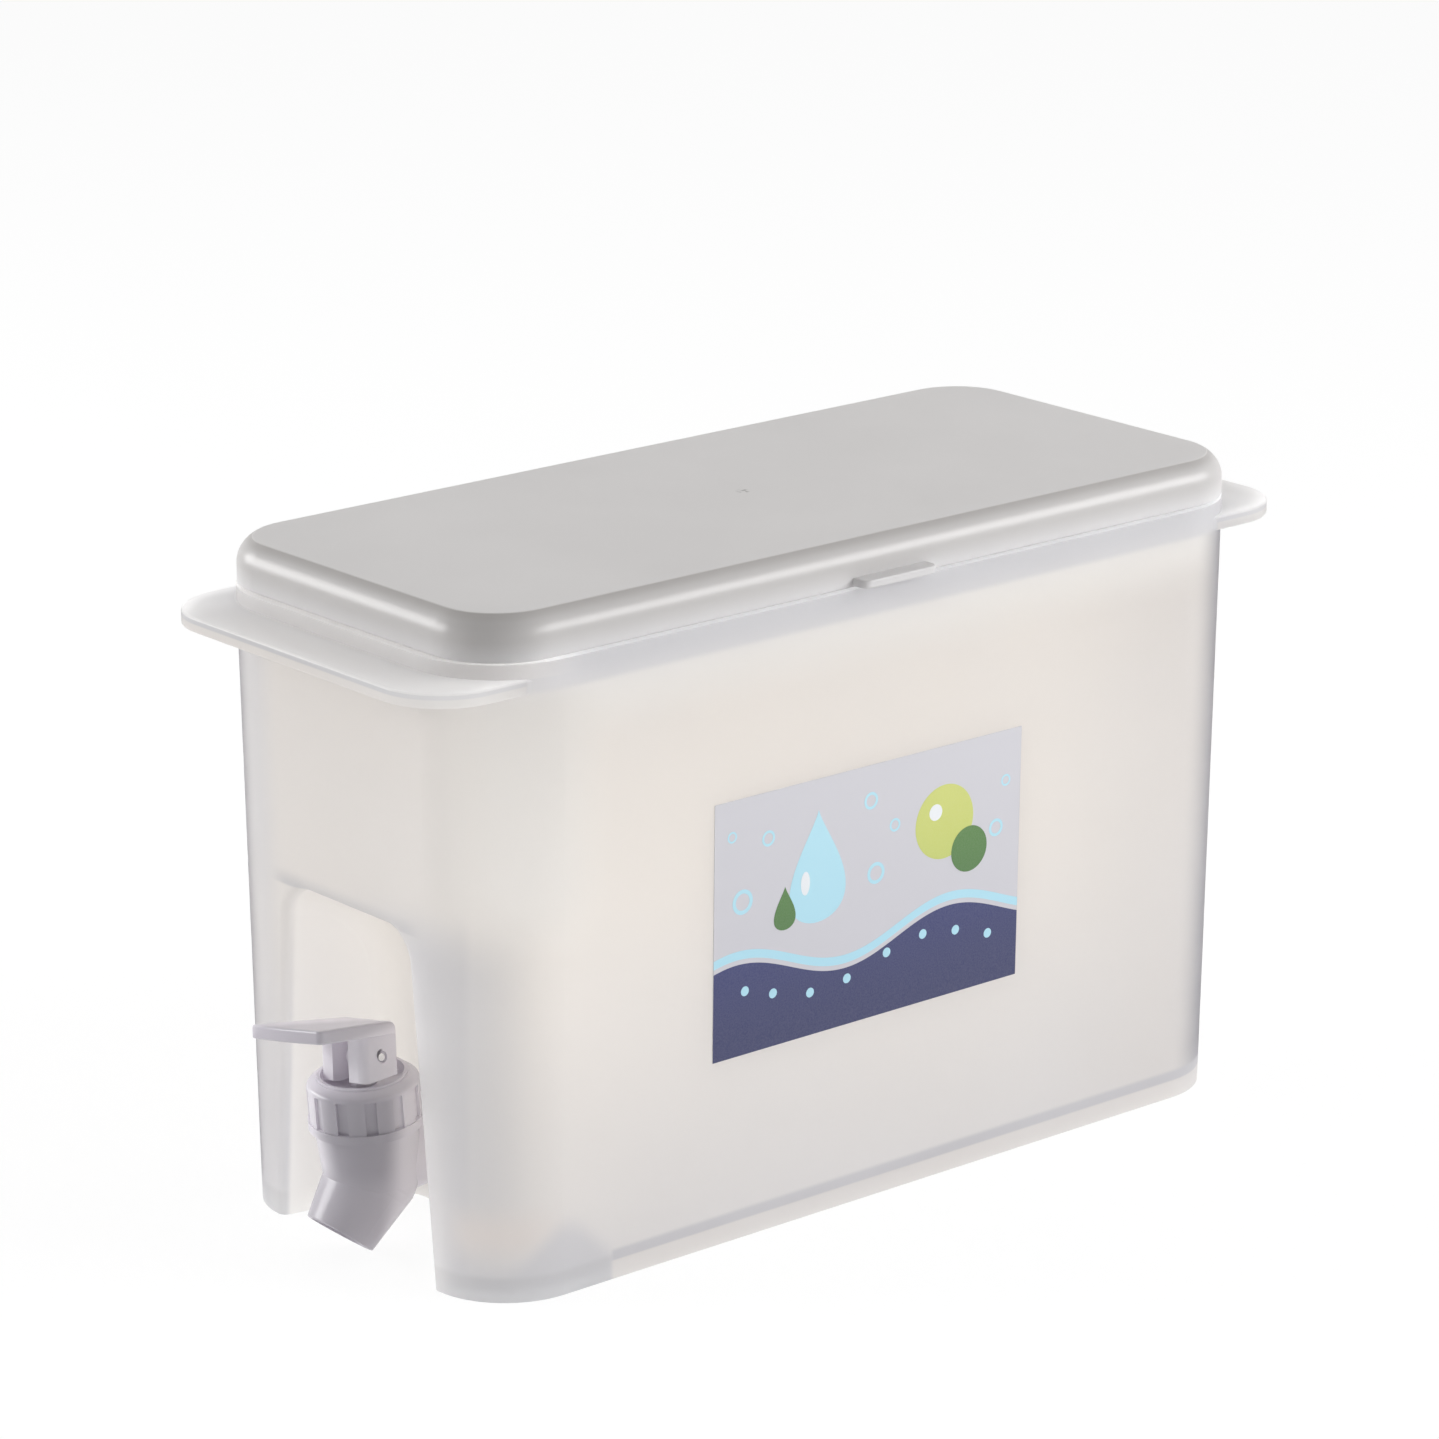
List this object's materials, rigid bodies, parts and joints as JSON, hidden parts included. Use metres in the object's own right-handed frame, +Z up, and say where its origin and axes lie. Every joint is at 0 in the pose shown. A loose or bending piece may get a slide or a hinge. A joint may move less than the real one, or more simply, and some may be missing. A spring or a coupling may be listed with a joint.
{
  "type": "water dispenser",
  "caption": "Slim refrigerator drinks dispenser: a drafted plastic tank with end grip tabs, a lift-off lid and a push-lever tap set in an arched recess.",
  "frame": {"origin": "middle of the object's footprint, on the plane that the foot stands on", "axes": "+Z up; X across the tank; Y along the tank, with the tap on the -Y end"},
  "size_m": [0.1198, 0.2939, 0.1767],
  "materials": {
    "tank_plastic": "translucent natural polypropylene, satin",
    "lid_plastic": "translucent natural polypropylene, fine matt grain",
    "sticker": "printed film, satin",
    "tap_plastic": "white moulded plastic, satin",
    "stem_plastic": "white moulded plastic",
    "seal_rubber": "clear silicone, matt",
    "spring_steel": "drawn stainless wire",
    "pin_steel": "drawn stainless bar"
  },
  "bodies": {
    "tank": {"tank": "tank_plastic", "label": "sticker", "tap_body": "tap_plastic", "collar_nut": "tap_plastic", "outer_washer": "seal_rubber", "inner_washer": "seal_rubber", "lock_nut": "tap_plastic", "return_spring": "spring_steel"},
    "lid": {"lid": "lid_plastic"},
    "valve": {"valve_stem": "stem_plastic", "valve_seal": "seal_rubber", "stem_ring": "seal_rubber"},
    "lever": {"lever": "tap_plastic", "pivot_pin": "pin_steel"}
  },
  "joints": [
    {"name": "lid_lift", "type": "slide", "parent": "tank", "child": "lid", "axis": [0, 0, 1], "range_m": [0, 0.03]},
    {"name": "stem_lift", "type": "slide", "parent": "tank", "child": "valve", "axis": [0, -0.0785, 0.9969], "range_m": [0, 0.00192], "stiffness_N_per_m": 600, "springref_m": -0.004, "deforming": ["return_spring"]},
    {"name": "lever_press", "type": "hinge", "parent": "valve", "child": "lever", "pos_m": [0, -0.12575, 0.05239], "axis": [0.9763, -0.017, 0.2158], "range_deg": [0, 25]}
  ],
  "couplings": [
    {"joint": "lever_press", "follows": "stem_lift", "rad_per_m": 227.62}
  ]
}
